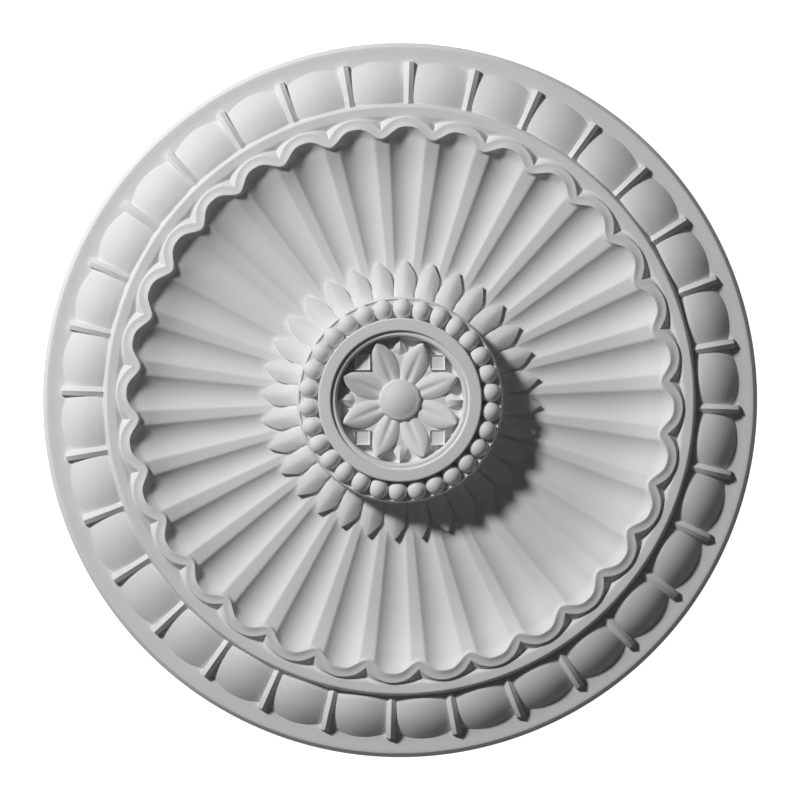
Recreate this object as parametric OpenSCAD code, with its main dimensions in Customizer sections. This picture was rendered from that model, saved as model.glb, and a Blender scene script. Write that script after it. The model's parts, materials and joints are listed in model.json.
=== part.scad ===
// Ceiling rose: one round moulded casting, lying on its flat back with the relief up.
// Millimetres, +Z up, origin at the centre of the flat back that is bonded to the ceiling.

/* [Overall] */
// Outside diameter
rose_d = 610; // [520:5:760]
// Times the fluted pattern repeats: flutes, scallops, eggs, reels and leaves
repeats = 32; // [24:2:40]
// Turn of the fluted field and its border against the flower, degrees
field_turn = -1.6; // [-5.6:0.1:5.6]

/* [Flange] */
// Height of the flange above the back
flange_z = 9; // [7:0.5:14]
// Width of the plain flange outside the border
flange_w = 15; // [10:0.5:24]
// How far the outer edge leans in on its way up, so that the casting leaves its mould
edge_draft = 3.4; // [1:0.2:6]

/* [Egg and reel border] */
// Width of the track that the border lies in
border_w = 36; // [30:0.5:44]
// Height of the track at the foot of the wall inside it
track_z = 14.5; // [11:0.5:18]
// Width of an egg at its middle, from the foot of the wall
egg_w = 35.5; // [30:0.5:40]
// From the foot of the wall to an egg's crest
egg_crest = 5; // [3:0.5:8]
// Height of an egg's crest above the back
egg_z = 24; // [20:0.5:28]
// How far an egg's crest drops to its ends
egg_end_drop = 5.5; // [3:0.5:7]
// Thickness of a reel along the border
reel_t = 7; // [4:0.5:10]
// How far a reel's ridge lies below an egg's crest
reel_drop = 0.7; // [0.3:0.1:3]

/* [Plain band and scalloped lip] */
// Width of the sloping wall between track and band
band_wall_w = 5; // [2:0.2:8]
// Height of the plain band above the back
band_z = 29.5; // [26:0.5:35]
// From the band's outer edge to the tip of a scallop
band_w = 9; // [6:0.2:16]
// How far the scallops run back to their cusps, outside
scallop_depth = 11.5; // [6:0.5:13]
// How far the scallops run back to their cusps, inside
scallop_depth_in = 9.4; // [5:0.2:12]
// Width of the lip at the tip of a scallop
lip_w = 8.6; // [6:0.2:12]
// Height of the lip above the back
lip_z = 34; // [31:0.5:40]

/* [Fluted dish] */
// Height of the lands where the dish is lowest
dish_z = 18; // [15:0.2:22]
// Radius at which the dish is lowest
dish_low_r = 149; // [130:1:165]
// How far the lands climb from there to the lip
dish_climb = 13.1; // [8:0.1:15]
// Height of the flute floors where they are lowest
flute_z = 13.3; // [10:0.1:16]
// Radius at which the flute floors are lowest
flute_low_r = 175; // [160:1:185]
// Radius of a flute's round section
flute_r = 16; // [14:0.5:20]
// Radius that the flutes are bent to along their length
flute_bend = 450; // [380:10:600]

/* [Leaf crown] */
// How far the leaves stand out from the drum
leaf_l = 31; // [20:0.5:40]
// How far out the valley between two leaves begins
leaf_valley = 18.5; // [8:0.5:22]
// Height of a leaf's keel where it leaves the drum
leaf_z = 32.5; // [27:0.5:39]
// Height of a leaf's tip
leaf_tip_z = 22; // [20:0.5:26]
// How far the creases between the leaves lie below the keels
crease_depth = 2.2; // [1:0.2:4]
// Turn of the leaves against the flower, degrees
leaf_turn = -2.4; // [-5.6:0.1:5.6]

/* [Drum] */
// Diameter of the drum at its rim
drum_d = 172; // [150:1:200]
// Taper of the drum's wall
drum_taper = 2; // [0.5:0.5:6]
// Height of the rim outside the beads
rim_z = 50.5; // [45:0.5:55]
// Width of the rim outside the beads
rim_w = 1.6; // [1:0.2:3]
// Depth of the bead channel below the rim
channel_depth = 1.5; // [1:0.5:5]
// Times the beads repeat
beads = 30; // [20:1:36]
// Diameter of a bead
bead_d = 16.6; // [14:0.2:20]
// Height of the bead tops
bead_z = 58.6; // [55:0.1:64]
// Turn of the beads, degrees
bead_turn = 4.6; // [0:0.1:12]
// Width of the flat ring inside the beads
ring_w = 10.6; // [8:0.2:14]
// Height of the flat ring
ring_z = 60; // [50:0.5:72]
// Width of the step inside the ring
step_w = 5; // [3:0.1:7]
// Depth of the step inside the ring
step_h = 2.6; // [1:0.2:4]

/* [Flower] */
// Height of the recess floor
floor_z = 44; // [38:0.5:48]
// Gap from a petal's tip to the recess wall
petal_gap = 1.8; // [1.2:0.2:6]
// Number of petals
petals = 8; // [6:2:12]
// Width of a petal
petal_w = 20.2; // [14:0.2:24]
// Height of a petal above the recess floor, beside the boss
petal_rise = 3; // [2:0.2:5]
// Height of a petal's tip above the recess floor
petal_tip_rise = 10.5; // [6:0.5:12]
// Radius of the groove along a petal
groove_r = 2; // [1:0.2:3]
// Diameter of the domed boss
boss_d = 34.4; // [28:0.2:40]
// Height of the boss above the back
boss_z = 54.5; // [50:0.5:58]
// Radius of the boss's dome
dome_r = 34; // [26:1:60]
// Width of the small pointed leaves between the petals
sepal_w = 11; // [6:0.5:14]
// Side of a lattice block behind the petals
block_w = 12.4; // [8:0.2:16]
// From the centre to the middle of a block, along X and along Y
block_off = 31.6; // [26:0.2:34]
// Height of a block above the recess floor
block_rise = 5; // [1.5:0.5:8]

/* [Hidden] */
facets = 72;
pitch = 360 / repeats;
rose_r = rose_d / 2;
flange_in = rose_r - flange_w;
wall_foot = flange_in - border_w;
band_out = wall_foot - band_wall_w;

// The lip: tips and cusps of its outer and inner scallops
lip_tip = band_out - band_w;
lip_cusp = lip_tip - scallop_depth;
lip_in_tip = lip_tip - lip_w;
lip_in_cusp = lip_in_tip - scallop_depth_in;
lip_root = lip_z - flute_z; // the lip runs down to the flute floors

// The dish
drum_r = drum_d / 2;
drum_foot = drum_r + drum_taper;
dish_out = lip_in_cusp + 2;
flute_start = drum_foot + 12;
flute_end = lip_in_tip - flute_r - 1.5;
flute_path = flute_bend - flute_r; // radius of the line down the middle of a flute's bar
bend_start = asin((flute_start - flute_low_r) / flute_bend);
bend_end = asin((flute_end - flute_low_r) / flute_bend);

// The drum's rings, from outside in
channel_out = drum_r - rim_w;
bead_ring = channel_out - bead_d / 2 + 0.6;
ring_out = bead_ring - bead_d / 2 + 0.6;
ring_in = ring_out - ring_w;
recess_r = ring_in - step_w;
petal_l = recess_r - petal_gap;
boss_r = boss_d / 2;

// An egg is part of a barrel on an axis that runs along the border: level at its crest by the wall,
// steep at its outer edge. The barrel's axis lies below the back, so only a sector of it is turned.
crest_r = wall_foot + egg_crest;
egg_reach = egg_w - egg_crest;
egg_drop = egg_z - flange_z;
barrel_r = (pow(egg_reach, 2) + pow(egg_drop, 2)) / (2 * egg_drop);
barrel_z = egg_z - barrel_r;
barrel_core = barrel_r - 12;
sector_start = asin((flange_z - 0.9 - barrel_z) / barrel_r);
sector_sweep = 104 - sector_start;
reel_r = barrel_r - reel_drop;
egg_half = (flange_in - border_w / 2) * tan(pitch / 2) - reel_t / 4;

// Height of the lands at radius r: a bowl that curls up to the lip
function land(r) = let (out = (r - dish_low_r) / (lip_in_cusp - dish_low_r))
    out > 0
        ? dish_z + dish_climb * (0.35 * pow(out, 2) + 0.65 * pow(out, 4))
        : dish_z + dish_climb * 0.45 * pow(out, 2);

// Centre of the circle through a scallop's tip and its two cusps
function scallop_centre(tip, cusp) = (pow(tip, 2) - pow(cusp, 2))
    / (2 * (tip - cusp * cos(pitch / 2)));

// Radius of an egg's barrel at share t of its half length
function egg_girth(t) = barrel_r - egg_end_drop * t * t;

// Half width of a petal's outline at share t of its length
function petal_half(t) = petal_w / 2 * pow(sin(180 * pow(t, 1.25)), 0.8);

module ring_of(count, turn) {
    for (i = [0:count - 1]) rotate([0, 0, turn + i * 360 / count]) children();
}

// Section of the whole turned body, from the back to the recess floor
module body_section() {
    dish = [for (i = [0:7]) let (
        r = dish_out + (drum_foot - dish_out) * pow(i / 7, 1.4)
    ) [r, land(r)]];
    polygon(concat(
        [
            [0, 0],
            [rose_r, 0],
            [rose_r - edge_draft, flange_z - 0.6],
            [rose_r - edge_draft - 0.6, flange_z],
            [flange_in, flange_z],
            [wall_foot, track_z],
            [band_out, band_z],
            [lip_cusp - 0.5, band_z]
        ],
        dish,
        [
            [drum_r, rim_z],
            [channel_out, rim_z],
            [channel_out, rim_z - channel_depth],
            [ring_out, rim_z - channel_depth],
            [ring_out, ring_z],
            [ring_in, ring_z],
            [ring_in, ring_z - step_h],
            [recess_r, ring_z - step_h],
            [recess_r, floor_z],
            [0, floor_z]
        ]
    ));
}

// One flute: a round bar bent to a shallow arc, with a ball at its outer end
module flute_cutter() {
    translate([flute_low_r, 0, flute_z + flute_bend])
        rotate([90, 0, 0]) {
            rotate([0, 0, bend_start - 90])
                rotate_extrude(angle = bend_end - bend_start, $fn = facets)
                translate([flute_path, 0])
                circle(r = flute_r, $fn = facets);
            rotate([0, 0, bend_end - 90])
                translate([flute_path, 0, 0])
                sphere(r = flute_r - 0.3, $fn = facets);
        }
}

module scallops(tip, cusp) {
    centre = scallop_centre(tip, cusp);
    circle(r = cusp, $fn = facets * 4);
    ring_of(repeats, 0) translate([centre, 0]) circle(r = tip - centre, $fn = facets);
}

// The raised scalloped lip between the plain band and the dish
module lip() {
    translate([0, 0, lip_z - lip_root])
        linear_extrude(lip_root)
        difference() {
            scallops(lip_tip, lip_cusp);
            scallops(lip_in_tip, lip_in_cusp);
        }
}

// Turns a profile about the border's barrel axis, from the flange up over the crest into the wall
module border_sector() {
    translate([crest_r, 0, barrel_z])
        rotate([90, 0, 0])
        rotate([0, 0, sector_start])
        rotate_extrude(angle = sector_sweep, $fn = facets)
        children();
}

module egg() {
    border_sector()
        polygon(concat(
            [[barrel_core, -egg_half]],
            [for (i = [-2:2]) [egg_girth(i / 2), egg_half * i / 2]],
            [[barrel_core, egg_half]]
        ));
}

// A reel: a thin disc with a ridged rim, standing between two eggs
module reel() {
    border_sector()
        polygon([
            [barrel_core, -reel_t / 2],
            [reel_r - reel_t / 3, -reel_t / 2],
            [reel_r, 0],
            [reel_r - reel_t / 3, reel_t / 2],
            [barrel_core, reel_t / 2]
        ]);
}

// The crown of pointed keeled leaves round the foot of the drum, as one closed shell
module leaf_crown() {
    root = drum_r - 4;
    valley = drum_foot + leaf_valley;
    tip = drum_foot + leaf_l;
    base_z = flute_z - 1;
    keel_z = (leaf_z + leaf_tip_z) / 2;
    half = pitch / 2;
    function at(r, a, z) = [r * cos(a), r * sin(a), z];
    // Each leaf adds six columns of points: root, keel, tip, and their feet
    points = [for (i = [0:repeats - 1]) let (a = i * pitch) each [
        at(root, a, leaf_z),
        at(valley, a, keel_z),
        at(tip, a, leaf_tip_z),
        at(tip, a, base_z),
        at(root, a, base_z),
        at(root, a + half, leaf_z - crease_depth),
        at(valley, a + half, keel_z - crease_depth),
        at(valley, a + half, base_z),
        at(root, a + half, base_z)
    ]];
    n = 9;
    faces = [for (i = [0:repeats - 1]) let (
        p = i * n,
        q = ((i + repeats - 1) % repeats) * n
    ) each [
        [p, p + 5, p + 6], [p, p + 6, p + 1], [p + 1, p + 6, p + 2],
        [p + 2, p + 6, p + 7], [p + 2, p + 7, p + 3],
        [p + 3, p + 7, p + 8], [p + 3, p + 8, p + 4],
        [p + 4, p + 8, p + 5], [p + 4, p + 5, p],
        [p, q + 6, q + 5], [p, p + 1, q + 6], [p + 1, p + 2, q + 6],
        [p + 2, q + 7, q + 6], [p + 2, p + 3, q + 7],
        [p + 3, q + 8, q + 7], [p + 3, p + 4, q + 8],
        [p + 4, q + 5, q + 8], [p + 4, p, q + 5]
    ]];
    polyhedron(points, faces, convexity = 4);
}

module petal_outline() {
    side = [for (i = [0:12]) [petal_l * i / 12, petal_half(i / 12)]];
    polygon(concat(side, [for (i = [11:-1:1]) [side[i][0], -side[i][1]]]));
}

// The flower: petals that rise from the boss to their tips, each with a groove, and a domed boss
module flower() {
    inner_z = floor_z + petal_rise;
    reach = petal_l + 0.8;
    slope = atan((petal_tip_rise - petal_rise) / (reach - boss_r));
    difference() {
        intersection() {
            translate([0, 0, floor_z - 2])
                linear_extrude(petal_tip_rise + 4)
                ring_of(petals, 180 / petals) petal_outline();
            rotate_extrude($fn = facets)
                polygon([
                    [0, floor_z - 2],
                    [reach, floor_z - 2],
                    [reach, floor_z + petal_tip_rise],
                    [boss_r, inner_z],
                    [0, inner_z]
                ]);
        }
        ring_of(petals, 180 / petals)
            translate([boss_r - 4, 0, inner_z - 0.3])
            rotate([0, 90 - slope, 0])
            cylinder(h = petal_l * 0.5, r = groove_r, $fn = facets);
    }
    rotate_extrude($fn = facets)
        polygon(concat(
            [[0, floor_z - 1], [boss_r, floor_z - 1], [boss_r, boss_z - 6.5]],
            [for (i = [5:-1:0]) let (x = boss_r * 0.94 * i / 5) [
                x,
                boss_z - dome_r + sqrt(pow(dome_r, 2) - pow(x, 2))
            ]]
        ));
}

// Small pointed leaves between the petals on the axes, and lattice blocks on the diagonals
module flower_ground() {
    ring_of(4, 0)
        translate([0, 0, floor_z - 2])
        linear_extrude(block_rise + 2)
        polygon([
            [petal_l * 0.6, -sepal_w / 2],
            [petal_l * 0.85, -sepal_w / 2],
            [recess_r - 1, 0],
            [petal_l * 0.85, sepal_w / 2],
            [petal_l * 0.6, sepal_w / 2]
        ]);
    ring_of(4, 0)
        translate([block_off - block_w / 2, block_off - block_w / 2, floor_z - 2])
        cube([block_w, block_w, block_rise + 2]);
}

module ceiling_rose() {
    color("whitesmoke") {
        difference() {
            rotate_extrude($fn = facets * 4) body_section();
            ring_of(repeats, field_turn) flute_cutter();
        }
        rotate([0, 0, field_turn]) lip();
        ring_of(repeats, field_turn + pitch / 2) egg();
        ring_of(repeats, field_turn) reel();
        rotate([0, 0, leaf_turn]) leaf_crown();
        ring_of(beads, bead_turn)
            translate([bead_ring, 0, bead_z - bead_d / 2])
            sphere(d = bead_d, $fn = facets);
        flower();
        flower_ground();
    }
}

ceiling_rose();
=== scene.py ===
# %% [markdown]
# # A moulded ceiling rose
#
# A ceiling rose is a round plaster or foam casting that frames a lamp fixing. It comes out of its
# mould in one piece, so everything here ends up as one mesh, with closed shells that grow into each
# other where the mould's carving ran together. The relief is modelled finer than the CAD solid, which
# stays in the file as the frame: it gives the diameter, and the part's place.

import json
import math

import bmesh
import bpy
from mathutils import Matrix, Vector

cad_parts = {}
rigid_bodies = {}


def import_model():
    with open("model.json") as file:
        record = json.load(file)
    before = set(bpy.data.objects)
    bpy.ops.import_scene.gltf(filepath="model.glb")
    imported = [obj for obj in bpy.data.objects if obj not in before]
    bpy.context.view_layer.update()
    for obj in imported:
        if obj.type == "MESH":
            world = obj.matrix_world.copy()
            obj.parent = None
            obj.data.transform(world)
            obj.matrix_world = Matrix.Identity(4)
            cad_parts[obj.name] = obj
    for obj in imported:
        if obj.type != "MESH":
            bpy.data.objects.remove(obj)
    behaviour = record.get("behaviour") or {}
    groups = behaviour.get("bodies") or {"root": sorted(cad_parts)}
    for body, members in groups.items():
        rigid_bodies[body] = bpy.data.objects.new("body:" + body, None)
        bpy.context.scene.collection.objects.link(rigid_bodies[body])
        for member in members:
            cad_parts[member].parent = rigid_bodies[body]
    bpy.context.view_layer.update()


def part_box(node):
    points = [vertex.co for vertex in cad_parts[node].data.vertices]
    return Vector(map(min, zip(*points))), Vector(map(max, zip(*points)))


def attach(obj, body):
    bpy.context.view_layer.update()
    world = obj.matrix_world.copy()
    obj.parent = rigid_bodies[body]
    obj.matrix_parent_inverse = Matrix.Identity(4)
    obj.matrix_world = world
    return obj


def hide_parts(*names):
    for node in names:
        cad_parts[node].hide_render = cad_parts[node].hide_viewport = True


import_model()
low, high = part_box("ceiling_rose")
rose_r = (high.x - low.x) / 2
depth = high.z - low.z
print(f"frame: {rose_r * 2000:.0f} mm across, {depth * 1000:.0f} mm deep")

# %% [markdown]
# ## Sizes
#
# Every size is drawn for a rose of 610 mm and scales with the frame's radius. Heights start at the
# flat back. The ornament repeats 32 times round the dish and its border, 30 times in the beads and
# 8 times in the flower, so angles come from those counts.

# %% Driving sizes
mm = rose_r / 305
repeats, beads, petals = 32, 30, 8
pitch = math.tau / repeats
field_turn = math.radians(-1.6)
leaf_turn = math.radians(-2.4)
bead_turn = math.radians(4.6)

flange_z, track_z, band_z, lip_z = 9 * mm, 14.5 * mm, 29.5 * mm, 34 * mm
rim_z, ring_z, recess_z = 50.5 * mm, 60 * mm, 44 * mm

lip_tip, lip_cusp = 240 * mm, 228.5 * mm
lip_in_tip, lip_in_cusp = 231.4 * mm, 221.5 * mm
bead_ring, bead_r = 76.7 * mm, 8.3 * mm
print(f"{repeats} flutes at {math.degrees(pitch):.2f} degrees, {beads} beads, {petals} petals")

# %% [markdown]
# ## The dish and its flutes as two short formulas
#
# The dish is a shallow bowl: its lands are lowest about half way out and curl up to the lip. A flute is
# a hollow of round section that widens with the radius, so its depth widens too. Writing both down as
# functions of the radius keeps the carving smooth, however fine the mesh is.

# %% Dish and flute
dish_low_z, dish_low_r, dish_span = 18 * mm, 149 * mm, 72 * mm
straight_from, straight_slope = 0.9, 0.42
land_angle = math.radians(3.3)
flute_half = (pitch - land_angle) / 2


def outer_curl(out):
    """The bowl outside its lowest circle: out is 0 there and 1 near the lip."""
    return dish_low_z + 13.1 * mm * (0.35 * out ** 2 + 0.65 * out ** 4)


def land_z(r):
    """Height of the lands between the flutes at radius r."""
    out = (r - dish_low_r) / dish_span
    if out > straight_from:
        return outer_curl(straight_from) + straight_slope * dish_span * (out - straight_from)
    if out > 0:
        return outer_curl(out)
    return dish_low_z + 5.4 * mm * out ** 2 * (1 + 0.5 * out ** 2)


def flute_edge(r):
    """Angle at which a flute's round section meets the land: it steepens toward the lip."""
    return math.radians(34 + 9 * min(1, max(0.0, (r - 160 * mm) / (60 * mm))) ** 1.5)


def flute_depth(r):
    """Depth of a flute's middle below the lands at radius r."""
    return r * math.sin(flute_half) * math.tan(flute_edge(r) / 2)


def flute_share(v, edge):
    """Share of a flute's depth at v of its half width: 1 in the middle, 0 on the land."""
    k = 1 / math.sin(edge)
    if v >= 1.06:
        return 0.0
    if v > 0.94:
        return flute_share(0.94, edge) * ((1.06 - v) / 0.12) ** 2
    return (math.sqrt(k * k - v * v) - math.sqrt(k * k - 1)) / (k - math.sqrt(k * k - 1))


for r in (110, 150, 190, 220):
    land = land_z(r * mm)
    print(f"r {r} mm: land {land / mm:.1f}, flute {(land - flute_depth(r * mm)) / mm:.1f}")

# %% [markdown]
# ## Columns that suit the carving
#
# The body is spun with the same number of columns in every flute. Even steps would miss the crisp edges
# of the lands and the points of the lip, so after the spin each column slides to an angle of its own,
# closer together where the carving turns quickly.

# %% Column angles
side = [v * flute_half for v in (0, 0.15, 0.3, 0.45, 0.6, 0.73, 0.84, 0.93, 1.0, 1.07, 1.18, 1.3)]
side.append(pitch / 2)
unit_angles = side + [pitch - a for a in side[-2:0:-1]]
columns = len(unit_angles)
print(f"{columns} columns a flute, {columns * repeats} round the rose")


def column_of(co, steps):
    """Number of the spun column that a point lies in."""
    return round((math.atan2(co.y, co.x) % math.tau) / math.tau * steps) % steps


def polar(r, angle, z):
    return Vector((r * math.cos(angle), r * math.sin(angle), z))


# %% [markdown]
# ## The scalloped lip's outline
#
# Seen from the front, the lip's outer edge is a chain of round lobes that meet in sharp points, while its
# inner edge runs in softer waves with narrow noses. Each outline is a share from 0 at the point between
# two lobes to 1 at a lobe's middle, and any ring of the mesh can be drawn between its two radii with it.

# %% Lobe outlines
def lobe_outer(t):
    """Round lobes: t runs from 0 at a lobe's middle to 1 at the point between two lobes."""
    tip, cusp = lip_tip, lip_cusp
    centre = (tip ** 2 - cusp ** 2) / (2 * (tip - cusp * math.cos(pitch / 2)))
    angle = t * pitch / 2
    r = centre * math.cos(angle) + math.sqrt((tip - centre) ** 2 - (centre * math.sin(angle)) ** 2)
    return (r - cusp) / (tip - cusp)


def lobe_inner(t):
    """Soft waves with narrow noses."""
    return 1 - math.sin(math.pi / 2 * t) ** 3


print("outer lobe shares:", [round(lobe_outer(t / 4), 2) for t in range(5)])

# %% [markdown]
# ## Rings of the body
#
# One section of the casting, from the back round the edge and in to the middle, is a list of rings. A
# ring says its radius and height at a lobe's middle and at the point between two lobes, and which
# outline it follows in between. Plain turned rings have the same pair twice.

# %% Ring list
rings = []


def add_ring(tip, cusp=None, outline=lobe_outer):
    """tip and cusp are (radius, height) in metres."""
    rings.append((tip, cusp or tip, outline))


def add_plain(points):
    for r, z in points:
        add_ring((r * mm, z))


add_plain([(0, 0), (150, 0), (285, 0)])
add_ring((rose_r, 0))
for r, drop in (
    (304.9, 8.8), (301.9, 1.2), (301.6, 0.6), (301.1, 0.15), (300.5, 0), (298, 0), (295, 0), (290, 0),
):
    add_ring((r * mm, flange_z - drop * mm))
for r in (284, 272, 260):
    add_ring((r * mm, flange_z + (track_z - flange_z) * (290 - r) / 36))
add_plain([(255, track_z - 0.1 * mm), (254.2, track_z + 0.4 * mm), (253.8, track_z + 1.4 * mm)])
add_plain([(249.9, band_z - 1.9 * mm), (249.6, band_z - 1.1 * mm), (249.1, band_z - 0.4 * mm)])
add_plain([(248.4, band_z), (247.7, band_z)])
print(f"{len(rings)} rings from the back to the plain band")

# %% Lip rings
def lip_ring(out_mm, in_share, drop_mm):
    """A ring on the lip's top: in_share 0 lies on the outer outline, 1 on the inner one."""
    rings.append(("lip", out_mm * mm, in_share, drop_mm * mm))


for tip, tip_rise, cusp, cusp_rise in (
    (243, 0, 240.8, 0), (242.4, 0, 240.2, -0.1), (241.6, 0, 239.4, -0.6), (241, 0, 236.8, -3),
    (240.6, 0.1, 235.8, -3.4), (240.3, 0.6, 235, -3), (240.1, 1.6, 229.6, 2.2),
):
    add_ring((tip * mm, band_z + tip_rise * mm), (cusp * mm, band_z + cusp_rise * mm))
for out_mm, share, drop in (
    (0, 0, 2.6), (-0.5, 0, 2.1), (0, 0.2, 2), (0, 0.4, 1.85), (0, 0.6, 1.35), (0, 0.78, 0.6),
    (0, 0.9, 0.1), (0, 0.96, 0.1), (0, 1, 0.6),
):
    lip_ring(out_mm, share, drop)
print(f"{len(rings)} rings to the inside of the lip")

# %% Dish rings
dish_steps = (
    0.35, 0.8, 1.4, 2.2, 3.2, 4.5, 6.2, 8.5, 11.5, 15, 19, 24, 30, 37, 45, 54, 63, 72, 81, 90, 99, 108, 116,
)
for step in dish_steps:
    rings.append(("dish", step * mm))
add_plain([(100, 20.5 * mm), (90, 22 * mm), (80, 22 * mm), (0, 22 * mm)])
print(f"{len(rings)} rings in all")

# %% [markdown]
# ## Spinning the body
#
# A bmesh spin turns the section once round the axis. An integer layer carries each ring's number to
# all its copies, so that afterwards every vertex knows which rule places it. Then each vertex moves to
# its column's angle and its ring's radius and height: that is the whole of the carving.

# %% Spin and carve
def ring_start(ring):
    """A point of the section for the spin. Only its order matters, as carving places it again."""
    if isinstance(ring[0], tuple):
        return ring[0]
    if ring[0] == "lip":
        return (lip_tip + (lip_in_tip - lip_tip) * ring[2], lip_z)
    return (lip_in_tip - ring[1], lip_z - ring[1])


def carve(ring, t):
    """Radius and height on a ring. t is 0 in a flute's middle and 1 between two flutes."""
    kind = ring[0]
    if isinstance(kind, tuple):
        tip, cusp, outline = ring
        share = outline(t)
        return cusp[0] + (tip[0] - cusp[0]) * share, cusp[1] + (tip[1] - cusp[1]) * share
    if kind == "lip":
        outer = lip_cusp + (lip_tip - lip_cusp) * lobe_outer(t)
        inner = lip_in_cusp + (lip_in_tip - lip_in_cusp) * lobe_inner(t)
        return outer + (inner - outer) * ring[2] + ring[1], lip_z - ring[3] * (0.35 + 0.65 * lobe_outer(t))
    return dish_point(ring[1], t)


def dish_point(step, t):
    """A point of the dish, step metres in from the lip's inner edge."""
    inner = lip_in_cusp + (lip_in_tip - lip_in_cusp) * lobe_inner(t)
    blend = max(0.0, 1 - step / (30 * mm)) ** 1.5
    r = lip_in_tip - step + (inner - lip_in_tip) * blend
    v = t * pitch / 2 / flute_half
    z = land_z(r) - flute_depth(r) * flute_share(v, flute_edge(r))
    curl = (2.2 + 5.8 * lobe_inner(t)) * mm
    gap = max(0.0, inner - r)
    if gap < curl:
        z += (lip_z - 1.4 * mm - z) * (1 - gap / curl) ** 2.1
    return r, z


def spin_section(bm, points, steps, closed=False):
    """Turns a section of (radius, height) points once round the axis, tagged by point number."""
    tag = bm.verts.layers.int.get("ring") or bm.verts.layers.int.new("ring")
    verts = [bm.verts.new((r, 0, z)) for r, z in points]
    for number, v in enumerate(verts):
        v[tag] = number
    edges = [bm.edges.new(pair) for pair in zip(verts, verts[1:])]
    if closed:
        edges.append(bm.edges.new((verts[-1], verts[0])))
    bmesh.ops.spin(
        bm, geom=verts + edges, cent=(0, 0, 0), axis=(0, 0, 1), angle=math.tau, steps=steps, use_merge=True
    )
    return tag


steps = columns * repeats
casting = bmesh.new()
tag = spin_section(casting, [ring_start(ring) for ring in rings], steps)
for v in casting.verts:
    column = column_of(v.co, steps) if v.co.xy.length > 1e-6 else 0
    unit, place = divmod(column, columns)
    local = unit_angles[place]
    t = min(local, pitch - local) / (pitch / 2)
    angle = unit * pitch + local + field_turn
    r, z = carve(rings[v[tag]], t)
    v.co = polar(r, angle, z)
bmesh.ops.remove_doubles(casting, verts=casting.verts, dist=1e-6)
print(f"body: {len(casting.verts)} vertices, {len(casting.faces)} faces")

# %% [markdown]
# ## A helper for what repeats
#
# Eggs, reels, beads, leaves and petals are each made once at angle zero, then copied round the axis.
# The spin operator does this too when it is told to duplicate. Every shell joins the casting this way.

# %% Ring of copies
def ring_of(unit, count, turn):
    """Copies the bmesh unit count times round the axis into the casting."""
    bmesh.ops.recalc_face_normals(unit, faces=unit.faces)
    bmesh.ops.rotate(unit, verts=unit.verts, cent=(0, 0, 0), matrix=Matrix.Rotation(turn, 3, "Z"))
    geom = unit.verts[:] + unit.edges[:] + unit.faces[:]
    bmesh.ops.spin(
        unit, geom=geom, cent=(0, 0, 0), axis=(0, 0, 1),
        angle=math.tau * (count - 1) / count, steps=count - 1, use_duplicate=True,
    )
    shell = bpy.data.meshes.new("unit")
    unit.to_mesh(shell)
    faces = len(unit.faces)
    unit.free()
    casting.from_mesh(shell)
    bpy.data.meshes.remove(shell)
    return faces


# %% [markdown]
# ## The hub
#
# The drum, its rim, the flat ring and the sunk ground of the flower are plain turned work. They need far
# fewer columns than the flutes, so they are a shell of their own that stands in the middle of the dish.
# The ground rises a little between the petals.

# %% Hub
hub_points = [(0, 10 * mm), (87.3 * mm, 10 * mm), (87.7 * mm, 24 * mm), (87.4 * mm, 31 * mm)]
rim_section = (
    (86.2, 1.6), (86, 0.8), (85.7, 0.2), (85.3, 0), (85, 0.2), (84.8, 0.7), (84.6, 1.1), (84.2, 1.2),
    (77, 1.2), (70.2, 1.2), (69.3, 0.9),
)
ring_section = (
    (69, 2), (68.85, 1.1), (68.4, 0.6), (67.9, 0.4), (67.4, 0.38), (59.6, 0), (59.1, 0), (58.7, 0.2),
    (58.4, 0.8), (58.2, 2.2), (57.9, 2.8), (57.3, 3), (56.6, 2.7), (55.6, 2.4), (54.6, 2.7), (53.9, 3.5),
    (53.5, 5), (53.3, 7),
)
ground_section = (
    (52.8, -1), (52, -0.2), (50.5, 0), (47, -0.8), (42, -3), (36, -4.3), (26, -3.2), (15, -2.5), (0, -2.5),
)
for section, top in ((rim_section, rim_z), (ring_section, ring_z), (ground_section, recess_z)):
    hub_points += [(r * mm, top - drop * mm) for r, drop in section]
hub = bmesh.new()
spin_section(hub, hub_points, 256)
bmesh.ops.remove_doubles(hub, verts=hub.verts, dist=1e-6)
print("hub faces:", ring_of(hub, 1, 0))

# %% [markdown]
# ## A pad that grows out of the ground
#
# Eggs, reels and petals all start as a flat grid. One formula gives the half width along its length and
# another the height. The grid's rim is then drawn straight down into the ground, which closes the shell.

# %% Pad helper
def pad(start, end, half_width, height, foot_z, along=18, across=14):
    """A closed pad from radius start to end: half_width(s) and height(s, w) shape it, w from -1 to 1."""
    bm = bmesh.new()
    bmesh.ops.create_grid(bm, x_segments=along, y_segments=across, size=1)
    for v in bm.verts:
        s, w = (v.co.x + 1) / 2, v.co.y
        s = math.sin(math.pi / 2 * s)
        v.co = Vector((start + (end - start) * s, half_width(s) * w, height(s, w)))
    rim = [e for e in bm.edges if e.is_boundary]
    wall = bmesh.ops.extrude_edge_only(bm, edges=rim)["geom"]
    for v in wall:
        if isinstance(v, bmesh.types.BMVert):
            v.co.z = foot_z
    bmesh.ops.remove_doubles(bm, verts=bm.verts, dist=1e-6)
    bmesh.ops.holes_fill(bm, edges=[e for e in bm.edges if e.is_boundary], sides=0)
    return bm


# %% [markdown]
# ## Eggs and reels of the border
#
# The border is an old pattern of eggs that lie end to end, with thin reels, like washers, between them.
# In section both are ovolos: level beside the wall, then ever steeper down to the flange. An egg's ends
# lie lower than its middle and reach less far out.

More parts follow.
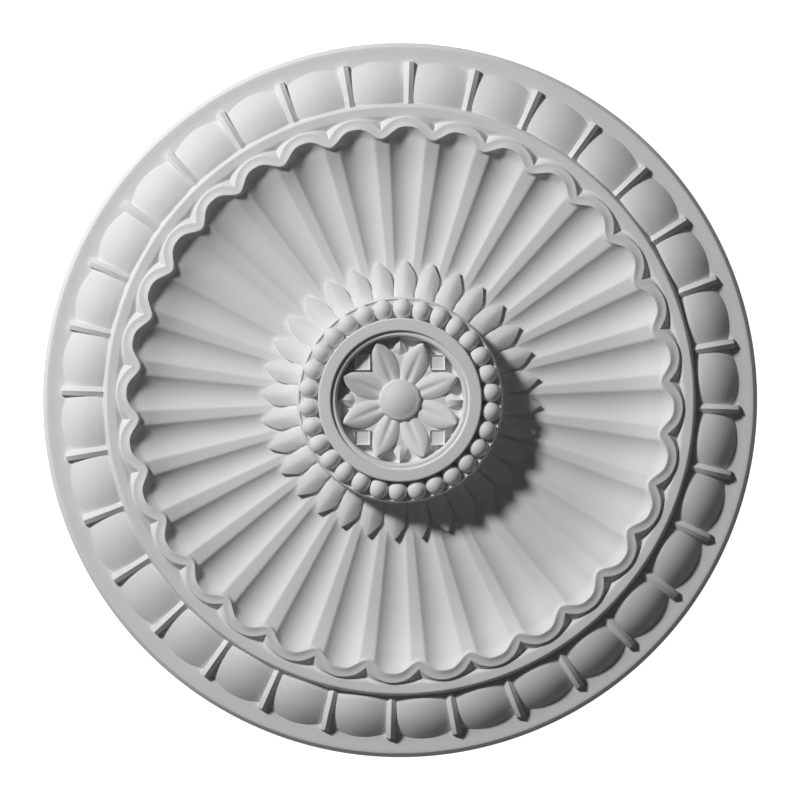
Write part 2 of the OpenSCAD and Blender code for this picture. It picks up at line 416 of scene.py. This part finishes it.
# %% Eggs
egg_start, egg_crest, egg_end = 251 * mm, 256 * mm, 289.4 * mm
egg_top_z, egg_fall = 24.6 * mm, 15.9 * mm
reel_half, reel_end = 3.9 * mm, 288.2 * mm
egg_half = 272 * mm * math.tan(pitch / 2) - 1.75 * mm
border_foot_z, border_low_z = flange_z - 2.5 * mm, flange_z - 1.5 * mm


def ovolo_z(r, reach):
    """Height of the border's section at radius r, with its outer foot at radius reach."""
    if r < egg_crest:
        return egg_top_z - 1.4 * mm * ((egg_crest - r) / (4 * mm)) ** 2
    return egg_top_z - egg_fall * ((r - egg_crest) / (reach - egg_crest)) ** 2.35


def egg_height(s, w):
    r = egg_start + (egg_end - egg_start) * s
    return max(ovolo_z(r, egg_end - 1.3 * mm * w * w) - 5 * mm * w * w, border_low_z)


egg = pad(egg_start, egg_end, lambda s: egg_half, egg_height, border_foot_z, along=24, across=15)
print("egg faces:", ring_of(egg, repeats, field_turn + pitch / 2))

# %% Reels
def reel_height(s, w):
    r = egg_start + (reel_end - egg_start) * s
    return max(ovolo_z(r, egg_end + 7 * mm) - (0.6 + 2.6 * abs(w)) * mm, border_low_z)


reel = pad(egg_start, reel_end, lambda s: reel_half, reel_height, border_foot_z, along=26, across=4)
print("reel faces:", ring_of(reel, repeats, field_turn))

# %% [markdown]
# ## The crown of leaves
#
# Thirty-two pointed leaves stand round the foot of the drum. They grow together into one crown, so it is
# spun as a ring and its outer edge is drawn out into points. Each leaf falls away from the drum, with a
# low keel along its middle and a narrow slit between it and its neighbour.

# %% Leaf crown
leaf_steps = 16
leaf_root, leaf_tip, leaf_valley = 84 * mm, 119 * mm, 106.7 * mm
leaf_root_z, leaf_fall, keel = 32 * mm, 10.8 * mm, 3.4 * mm
slit_from, slit_in, crown_foot_z = 0.85, 10 * mm, 6 * mm
leaf_out = (0, 0.2, 0.4, 0.6, 0.8, 0.94, 1.0, 1.0)
# Only the order of these points matters, as each is placed again after the spin
crown_points = [(leaf_root + number * mm, leaf_root_z) for number in range(len(leaf_out))]
crown_points += [(leaf_root, crown_foot_z)]
crown = bmesh.new()
tag = spin_section(crown, crown_points, repeats * leaf_steps, closed=True)
for v in crown.verts:
    unit, place = divmod(column_of(v.co, repeats * leaf_steps), leaf_steps)
    t = abs(place - leaf_steps / 2) / (leaf_steps / 2)
    angle = (unit + place / leaf_steps + 0.5) * pitch + leaf_turn
    number = v[tag]
    if number == len(leaf_out):
        v.co = polar(leaf_root, angle, crown_foot_z)
        continue
    slit = slit_in * max(0.0, (t - slit_from) / (1 - slit_from))
    edge = leaf_tip + (leaf_valley - leaf_tip) * (t / slit_from) ** 1.08 - slit
    r = leaf_root + (edge - leaf_root) * leaf_out[number]
    fall = (r - leaf_root) / (leaf_tip - leaf_root)
    z = leaf_root_z - leaf_fall * fall - keel * t ** 1.5 * min(1, 2 * leaf_out[number])
    if number == len(leaf_out) - 1:
        z = crown_foot_z
    v.co = polar(r, angle, z)
print("crown faces:", ring_of(crown, 1, 0))

# %% [markdown]
# ## Beads
#
# The beads are balls, drawn out a little across the ring and half sunk in the drum's top. Each runs a
# little into the next.

# %% Beads
bead = bmesh.new()
bmesh.ops.create_uvsphere(bead, u_segments=20, v_segments=12, radius=bead_r)
bmesh.ops.scale(bead, verts=bead.verts, vec=(1.06, 1, 1))
bmesh.ops.translate(bead, verts=bead.verts, vec=(bead_ring, 0, rim_z - 0.2 * mm))
print("bead faces:", ring_of(bead, beads, bead_turn))

# %% [markdown]
# ## Petals and small pointed leaves
#
# A petal is a pad that rises outward. It has a round shoulder to each side and a groove from the boss to
# past its middle. Four small pointed leaves show in the gaps between the petals.

# %% Petals
petal_end = 51.6 * mm
flower_foot_z = recess_z - 1 * mm


def petal_half(s):
    """Half width at share s of the length: it swells past the middle and comes to a blunt point."""
    return 10.1 * mm * math.sin(math.pi * (0.16 + 0.84 * s) ** 1.35) ** 0.6 + 0.02 * mm


def petal_height(s, w):
    rise = 3.2 + 7.6 * s
    groove = math.exp(-((w * (0.55 + s) / 0.2) ** 2)) * max(0.0, 1 - s / 0.8) ** 0.5
    return recess_z + (rise - 2.4 * abs(w) ** 2.6 - 1.9 * groove) * mm


petal = pad(9 * mm, petal_end, petal_half, petal_height, flower_foot_z)
print("petal faces:", ring_of(petal, petals, math.tau / petals / 2))

# %% Pointed leaves
def sepal_half(s):
    return 6.6 * mm * (1 - s ** 1.7) + 0.02 * mm


def sepal_height(s, w):
    return recess_z + (7.6 - 2.2 * abs(w) - 3.5 * (1 - s) ** 3) * mm


sepal = pad(38 * mm, 52.8 * mm, sepal_half, sepal_height, flower_foot_z, along=8, across=6)
print("pointed leaf faces:", ring_of(sepal, 4, 0))

# %% [markdown]
# ## Lattice blocks and boss
#
# Behind the petals, on the diagonals, lie square blocks with a thin raised rim. An inset face pushed down
# makes the rim. The boss is a spun cap with a rolled shoulder.

# %% Blocks
block_side, block_height, block_out = 12.8 * mm, 9 * mm, 31.6 * mm
block = bmesh.new()
bmesh.ops.create_cube(block, size=1)
bmesh.ops.scale(block, verts=block.verts, vec=(block_side, block_side, block_height))
top = [f for f in block.faces if f.normal.z > 0.5]
bmesh.ops.inset_region(block, faces=top, thickness=1.7 * mm, depth=-1.8 * mm)
bmesh.ops.bevel(
    block, geom=[e for e in block.edges if e.calc_face_angle(0) > 0.5], offset=0.4 * mm,
    affect="EDGES", segments=2, profile=0.5, material=-1,
)
bmesh.ops.translate(block, verts=block.verts, vec=(block_out, block_out, recess_z + 2 * mm))
print("block faces:", ring_of(block, 4, 0))

# %% Boss
boss_r, boss_top, cap_r, roll = 17.8 * mm, recess_z + 11 * mm, 30 * mm, 4.2 * mm
boss_points = [(0, boss_top)]
for share in (0.15, 0.3, 0.45, 0.6, 0.72, 0.82):
    boss_points.append((boss_r * share, boss_top - cap_r + math.sqrt(cap_r ** 2 - (boss_r * share) ** 2)))
roll_z = boss_points[-1][1]
for a in range(20, 91, 14):
    turn = math.radians(a)
    boss_points.append((boss_r * (0.85 + 0.15 * math.sin(turn)), roll_z - roll * (1 - math.cos(turn))))
boss_points += [(boss_r, flower_foot_z), (0, flower_foot_z)]
boss = bmesh.new()
spin_section(boss, boss_points, 72)
bmesh.ops.remove_doubles(boss, verts=boss.verts, dist=1e-6)
print("boss faces:", ring_of(boss, 1, 0))

# %% [markdown]
# ## One casting
#
# The shells become one mesh. Smooth shading with sharp edges marked by angle keeps the round carving
# round and the points and steps crisp.

# %% Finish the mesh
bmesh.ops.recalc_face_normals(casting, faces=casting.faces)
for face in casting.faces:
    face.smooth = True
for edge in casting.edges:
    edge.smooth = edge.calc_face_angle(0) < math.radians(38)
mesh = bpy.data.meshes.new("rose_casting")
casting.to_mesh(mesh)
casting.free()
rose = bpy.data.objects.new("rose_casting", mesh)
bpy.context.scene.collection.objects.link(rose)
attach(rose, "root")
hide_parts("ceiling_rose")
triangles = sum(len(p.vertices) - 2 for p in mesh.polygons)
print(f"casting: {triangles} triangles")

# %% [markdown]
# ## Matt white primer
#
# The rose is sold primed: a thin, dull white coat with a very fine grain where the spray dried, and a
# touch more dust grey in places. Noise on Object coordinates gives both, a broad one for the tone and a
# fine one for the bump, so the pattern stays put from every side.

# %% Primer material
primer = bpy.data.materials.new("matt_white_primer")
primer.use_nodes = True
nodes, links = primer.node_tree.nodes, primer.node_tree.links
shader = nodes["Principled BSDF"]
shader.inputs["IOR"].default_value = 1.45
shader.inputs["Specular IOR Level"].default_value = 0.25

place = nodes.new("ShaderNodeTexCoord")
broad = nodes.new("ShaderNodeTexNoise")
broad.inputs["Scale"].default_value = 14
broad.inputs["Detail"].default_value = 4
links.new(place.outputs["Object"], broad.inputs["Vector"])
tone = nodes.new("ShaderNodeValToRGB")
tone.color_ramp.elements[0].position, tone.color_ramp.elements[1].position = 0.3, 0.75
tone.color_ramp.elements[0].color = (0.77, 0.77, 0.77, 1)
tone.color_ramp.elements[1].color = (0.81, 0.81, 0.81, 1)
links.new(broad.outputs["Fac"], tone.inputs["Fac"])
links.new(tone.outputs["Color"], shader.inputs["Base Color"])

grain = nodes.new("ShaderNodeTexNoise")
grain.inputs["Scale"].default_value = 900
grain.inputs["Detail"].default_value = 3
links.new(place.outputs["Object"], grain.inputs["Vector"])
dull = nodes.new("ShaderNodeMapRange")
dull.inputs["To Min"].default_value, dull.inputs["To Max"].default_value = 0.55, 0.72
links.new(grain.outputs["Fac"], dull.inputs["Value"])
links.new(dull.outputs["Result"], shader.inputs["Roughness"])
bump = nodes.new("ShaderNodeBump")
bump.inputs["Strength"].default_value = 0.12
bump.inputs["Distance"].default_value = 0.0004
links.new(grain.outputs["Fac"], bump.inputs["Height"])
links.new(bump.outputs["Normal"], shader.inputs["Normal"])
mesh.materials.append(primer)
print("primer laid over", len(mesh.polygons), "faces")

# %% [markdown]
# ## Floor, light and camera
#
# The rose lies face up on a white sheet. The sheet glows only toward the camera, so that no shadow edge
# distracts from the relief and no light creeps up the rose's edge from below. One soft lamp low to the
# upper left rakes over the carving, which is what makes a white relief readable. The camera looks straight
# down the axis through a long lens, and the rose fills nine tenths of the picture's width.

# %% Floor
bpy.ops.mesh.primitive_plane_add(size=14, location=(0, 0, -0.002))
floor = bpy.context.object
floor.name = "white_sheet"
sheet = bpy.data.materials.new("white_sheet")
sheet.use_nodes = True
paper = sheet.node_tree.nodes["Principled BSDF"]
paper.inputs["Base Color"].default_value = (0.9, 0.9, 0.9, 1)
paper.inputs["Roughness"].default_value = 0.9
paper.inputs["Emission Color"].default_value = (1, 1, 1, 1)
seen_by = sheet.node_tree.nodes.new("ShaderNodeLightPath")
glow = sheet.node_tree.nodes.new("ShaderNodeMath")
glow.operation = "MULTIPLY"
glow.inputs[1].default_value = 1.1
sheet.node_tree.links.new(seen_by.outputs["Is Camera Ray"], glow.inputs[0])
sheet.node_tree.links.new(glow.outputs["Value"], paper.inputs["Emission Strength"])
floor.data.materials.append(sheet)

# %% Light
lamp_turn, lamp_rise, lamp_far = math.radians(141), math.radians(38), 4.5
lamp_data = bpy.data.lights.new("window", "AREA")
lamp_data.shape = "DISK"
lamp_data.size = 0.6
lamp_data.energy = 174
lamp = bpy.data.objects.new("window", lamp_data)
bpy.context.scene.collection.objects.link(lamp)
lamp.location = lamp_far * Vector((
    math.cos(lamp_turn) * math.cos(lamp_rise), math.sin(lamp_turn) * math.cos(lamp_rise), math.sin(lamp_rise)
))
lamp.rotation_euler = lamp.location.to_track_quat("Z", "Y").to_euler()

world = bpy.data.worlds.new("room")
bpy.context.scene.world = world
world.use_nodes = True
world.node_tree.nodes["Background"].inputs["Color"].default_value = (1, 1, 1, 1)
world.node_tree.nodes["Background"].inputs["Strength"].default_value = 0.04
bpy.context.scene.view_settings.view_transform = "Standard"

# %% Camera
camera_far = 4.0
camera_data = bpy.data.cameras.new("camera")
camera = bpy.data.objects.new("camera", camera_data)
bpy.context.scene.collection.objects.link(camera)
camera.location = (0, 0, camera_far)
rose_share = 0.893
seen = rose_r * 2 / rose_share
camera_data.sensor_width = 36
camera_data.lens = 36 * camera_far / seen
bpy.context.scene.camera = camera
print(f"camera {camera_far} m above the back, {camera_data.lens:.0f} mm lens")
